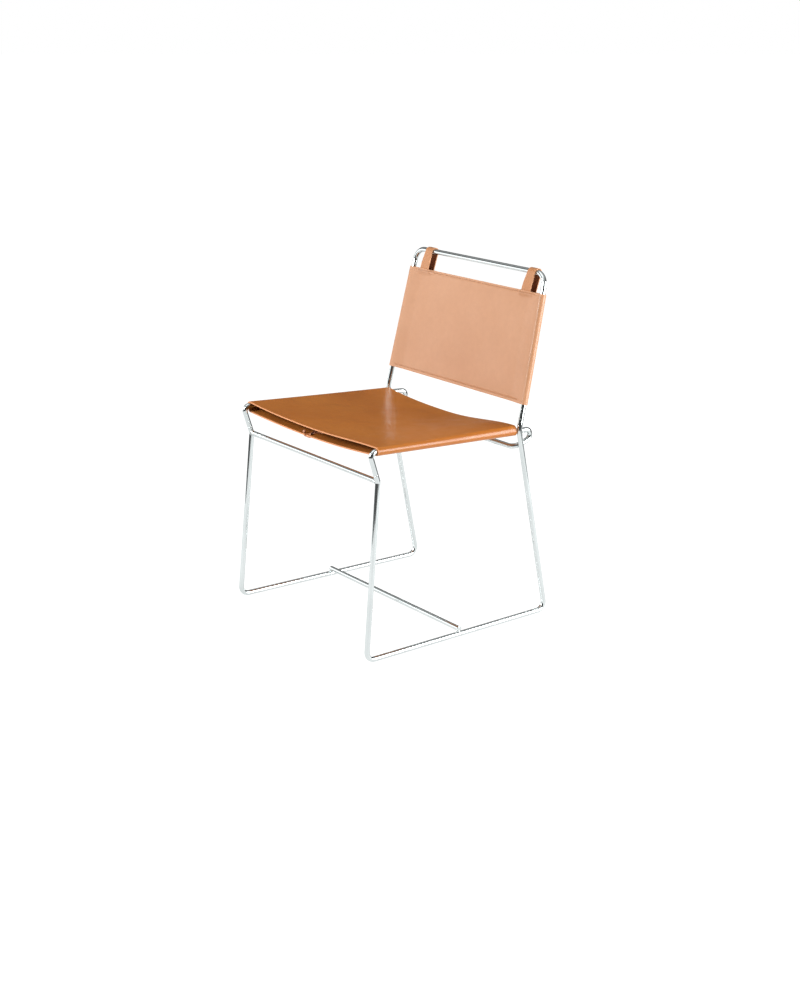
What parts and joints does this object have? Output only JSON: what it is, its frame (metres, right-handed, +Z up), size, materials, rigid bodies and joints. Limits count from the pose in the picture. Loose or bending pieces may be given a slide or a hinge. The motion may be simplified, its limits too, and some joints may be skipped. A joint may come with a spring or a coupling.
{
  "type": "dining chair",
  "caption": "Dining chair with a bent chromed rod frame, a laced tan leather sling seat and a leather sleeve back hung on straps.",
  "frame": {"origin": "on the floor, under the middle of the chair's overall box", "axes": "+Z up, +Y towards the back of the chair, so the chair faces -Y, and +X to the right of someone who faces the chair"},
  "size_m": [0.5186, 0.5181, 0.7886],
  "materials": {
    "chromed_steel": "polished",
    "seat_leather": "smooth, semi-matte",
    "back_leather": "smooth, semi-matte",
    "lace_leather": "matte"
  },
  "bodies": {
    "root": {"left_base_rod": "chromed_steel", "right_base_rod": "chromed_steel", "left_seat_rail": "chromed_steel", "right_seat_rail": "chromed_steel", "rear_crossbar": "chromed_steel", "back_hoop": "chromed_steel", "front_crossbar": "chromed_steel", "base_stretcher": "chromed_steel", "seat_sling": "seat_leather", "seat_lace": "lace_leather", "back_sleeve": "back_leather", "left_hanging_loop": "back_leather", "right_hanging_loop": "back_leather"}
  },
  "joints": []
}
